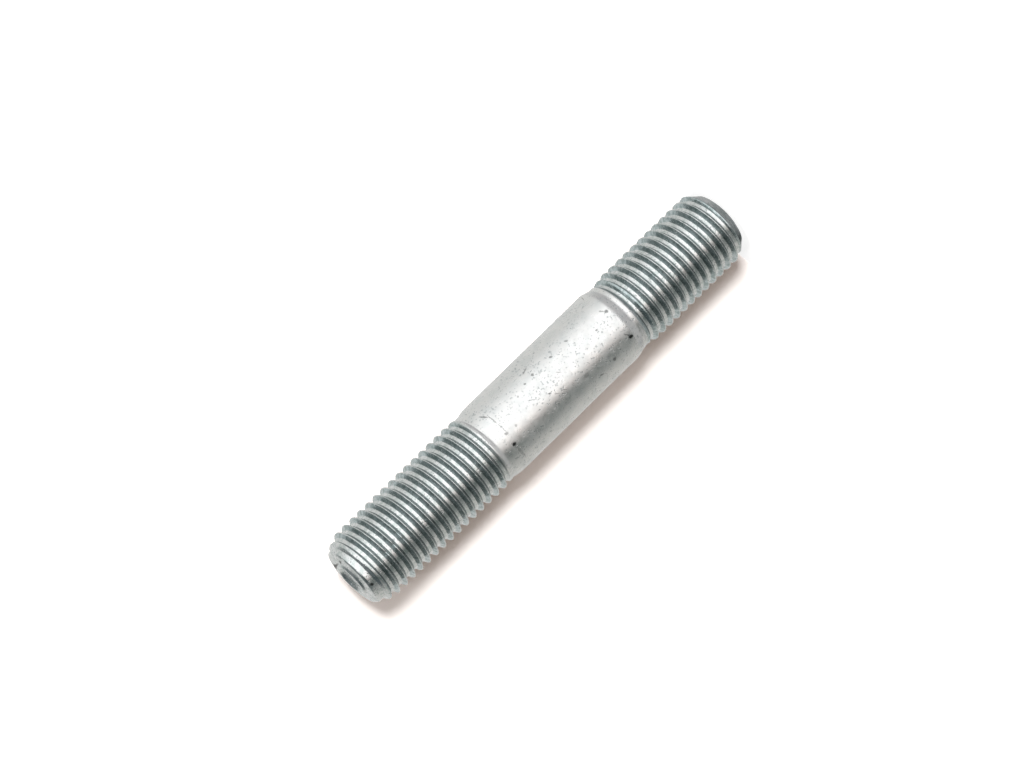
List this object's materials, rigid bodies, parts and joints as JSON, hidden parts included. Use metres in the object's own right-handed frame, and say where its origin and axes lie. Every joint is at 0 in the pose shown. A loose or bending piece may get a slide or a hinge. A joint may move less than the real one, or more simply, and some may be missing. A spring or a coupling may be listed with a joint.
{
  "type": "double-ended stud",
  "caption": "Double-ended threaded stud in bright zinc-plated steel, with a plain shank, a turned neck by the shorter thread and a cone by the longer one.",
  "frame": {"origin": "centre of the plain end face that the stud stands on, on its axis", "axes": "+Z along the axis from the shorter thread to the longer thread; +X and +Y across it"},
  "size_m": [0.0158, 0.0158, 0.1],
  "materials": {
    "zinc_plated_steel": "bright zinc plating, lightly pitted"
  },
  "bodies": {
    "root": {"stud": "zinc_plated_steel"}
  },
  "joints": []
}
